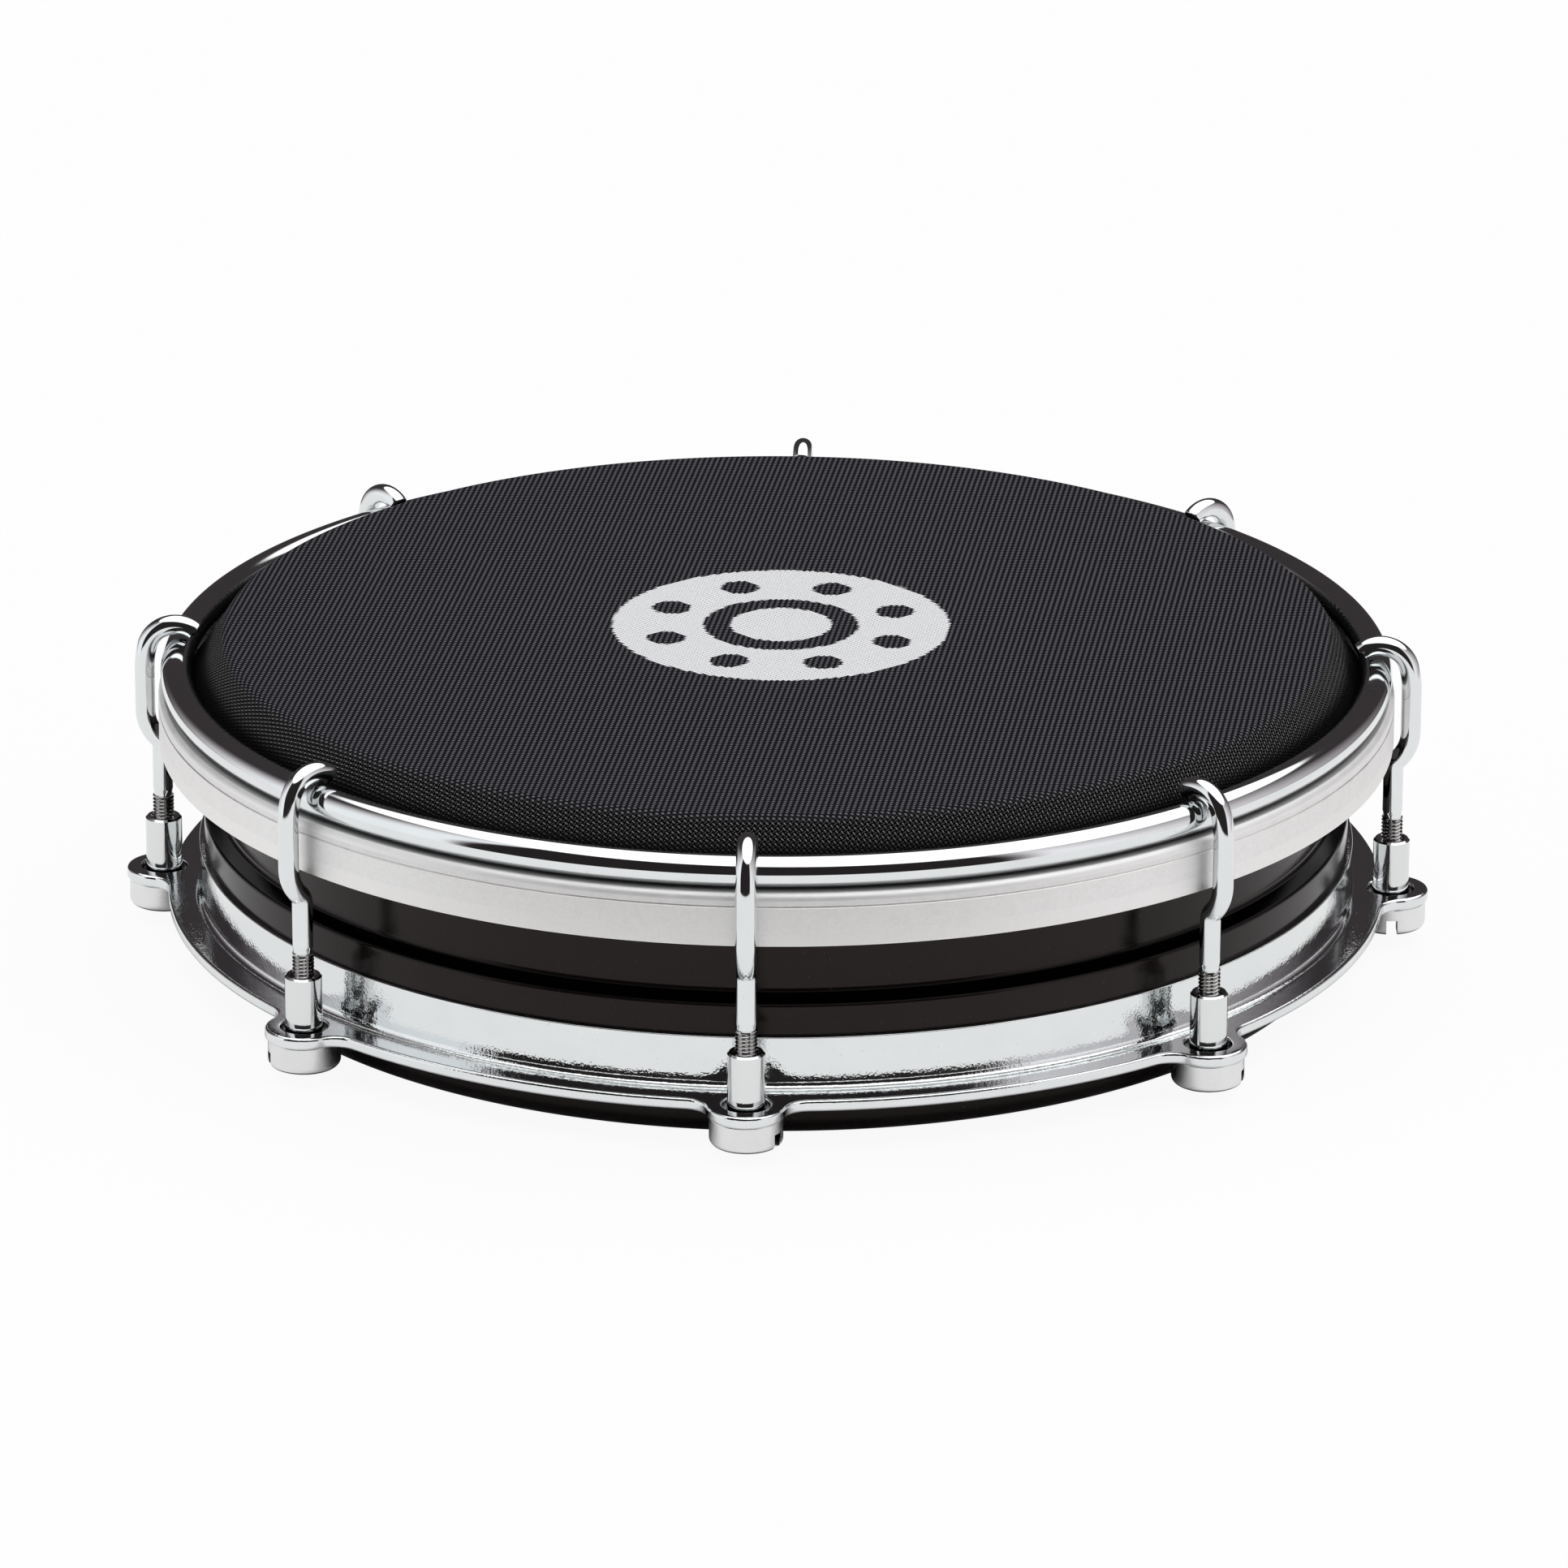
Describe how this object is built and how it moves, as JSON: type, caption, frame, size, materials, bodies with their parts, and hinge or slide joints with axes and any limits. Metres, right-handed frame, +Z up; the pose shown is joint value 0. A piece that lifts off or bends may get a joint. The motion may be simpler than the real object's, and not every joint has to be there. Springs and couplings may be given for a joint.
{
  "type": "tamborim",
  "caption": "Shallow hand frame drum: open-backed moulded shell, woven head under a round counter hoop, bent tension hooks tuned by slotted nuts in a lugged ring.",
  "frame": {"origin": "on the drum's axis at the level of the shell's lower rim", "axes": "+Z up the drum's axis to the head, -Y through the centre of lug 1; lugs are numbered towards +X"},
  "size_m": [0.1762, 0.1762, 0.0431],
  "materials": {
    "black_abs": "moulded black ABS, polished",
    "chrome": "bright chrome plate on steel",
    "satin_aluminium": "drawn aluminium, satin, with fine lines along the hoop",
    "dark_resin": "cast resin, dull",
    "woven_skin": "black woven synthetic cloth, tight diagonal ribs"
  },
  "bodies": {
    "drum": {"shell": "black_abs", "tension_ring": "chrome", "head_hoop": "satin_aluminium", "head_resin": "dark_resin", "drum_head": "woven_skin", "counter_hoop": "chrome"},
    "hook_1": {"tension_hook_1": "chrome"},
    "nut_1": {"tuning_nut_1": "chrome"},
    "hook_2": {"tension_hook_2": "chrome"},
    "nut_2": {"tuning_nut_2": "chrome"},
    "hook_3": {"tension_hook_3": "chrome"},
    "nut_3": {"tuning_nut_3": "chrome"},
    "hook_4": {"tension_hook_4": "chrome"},
    "nut_4": {"tuning_nut_4": "chrome"},
    "hook_5": {"tension_hook_5": "chrome"},
    "nut_5": {"tuning_nut_5": "chrome"},
    "hook_6": {"tension_hook_6": "chrome"},
    "nut_6": {"tuning_nut_6": "chrome"},
    "hook_7": {"tension_hook_7": "chrome"},
    "nut_7": {"tuning_nut_7": "chrome"},
    "hook_8": {"tension_hook_8": "chrome"},
    "nut_8": {"tuning_nut_8": "chrome"}
  },
  "joints": [
    {"name": "nut_turn_1", "type": "hinge", "parent": "drum", "child": "nut_1", "pos_m": [0, -0.08295, 0.00575], "axis": [0, 0, -1], "range_deg": [0, 720]},
    {"name": "hook_slide_1", "type": "slide", "parent": "drum", "child": "hook_1", "axis": [0, 0, 1], "range_m": [0, 0.001]},
    {"name": "nut_turn_2", "type": "hinge", "parent": "drum", "child": "nut_2", "pos_m": [0.05865, -0.05865, 0.00575], "axis": [0, 0, -1], "range_deg": [0, 720]},
    {"name": "hook_slide_2", "type": "slide", "parent": "drum", "child": "hook_2", "axis": [0, 0, 1], "range_m": [0, 0.001]},
    {"name": "nut_turn_3", "type": "hinge", "parent": "drum", "child": "nut_3", "pos_m": [0.08295, 0, 0.00575], "axis": [0, 0, -1], "range_deg": [0, 720]},
    {"name": "hook_slide_3", "type": "slide", "parent": "drum", "child": "hook_3", "axis": [0, 0, 1], "range_m": [0, 0.001]},
    {"name": "nut_turn_4", "type": "hinge", "parent": "drum", "child": "nut_4", "pos_m": [0.05865, 0.05865, 0.00575], "axis": [0, 0, -1], "range_deg": [0, 720]},
    {"name": "hook_slide_4", "type": "slide", "parent": "drum", "child": "hook_4", "axis": [0, 0, 1], "range_m": [0, 0.001]},
    {"name": "nut_turn_5", "type": "hinge", "parent": "drum", "child": "nut_5", "pos_m": [0, 0.08295, 0.00575], "axis": [0, 0, -1], "range_deg": [0, 720]},
    {"name": "hook_slide_5", "type": "slide", "parent": "drum", "child": "hook_5", "axis": [0, 0, 1], "range_m": [0, 0.001]},
    {"name": "nut_turn_6", "type": "hinge", "parent": "drum", "child": "nut_6", "pos_m": [-0.05865, 0.05865, 0.00575], "axis": [0, 0, -1], "range_deg": [0, 720]},
    {"name": "hook_slide_6", "type": "slide", "parent": "drum", "child": "hook_6", "axis": [0, 0, 1], "range_m": [0, 0.001]},
    {"name": "nut_turn_7", "type": "hinge", "parent": "drum", "child": "nut_7", "pos_m": [-0.08295, 0, 0.00575], "axis": [0, 0, -1], "range_deg": [0, 720]},
    {"name": "hook_slide_7", "type": "slide", "parent": "drum", "child": "hook_7", "axis": [0, 0, 1], "range_m": [0, 0.001]},
    {"name": "nut_turn_8", "type": "hinge", "parent": "drum", "child": "nut_8", "pos_m": [-0.05865, -0.05865, 0.00575], "axis": [0, 0, -1], "range_deg": [0, 720]},
    {"name": "hook_slide_8", "type": "slide", "parent": "drum", "child": "hook_8", "axis": [0, 0, 1], "range_m": [0, 0.001]}
  ],
  "couplings": [
    {"joint": "nut_turn_1", "follows": "hook_slide_1", "rad_per_m": 12566},
    {"joint": "nut_turn_2", "follows": "hook_slide_2", "rad_per_m": 12566},
    {"joint": "nut_turn_3", "follows": "hook_slide_3", "rad_per_m": 12566},
    {"joint": "nut_turn_4", "follows": "hook_slide_4", "rad_per_m": 12566},
    {"joint": "nut_turn_5", "follows": "hook_slide_5", "rad_per_m": 12566},
    {"joint": "nut_turn_6", "follows": "hook_slide_6", "rad_per_m": 12566},
    {"joint": "nut_turn_7", "follows": "hook_slide_7", "rad_per_m": 12566},
    {"joint": "nut_turn_8", "follows": "hook_slide_8", "rad_per_m": 12566}
  ]
}
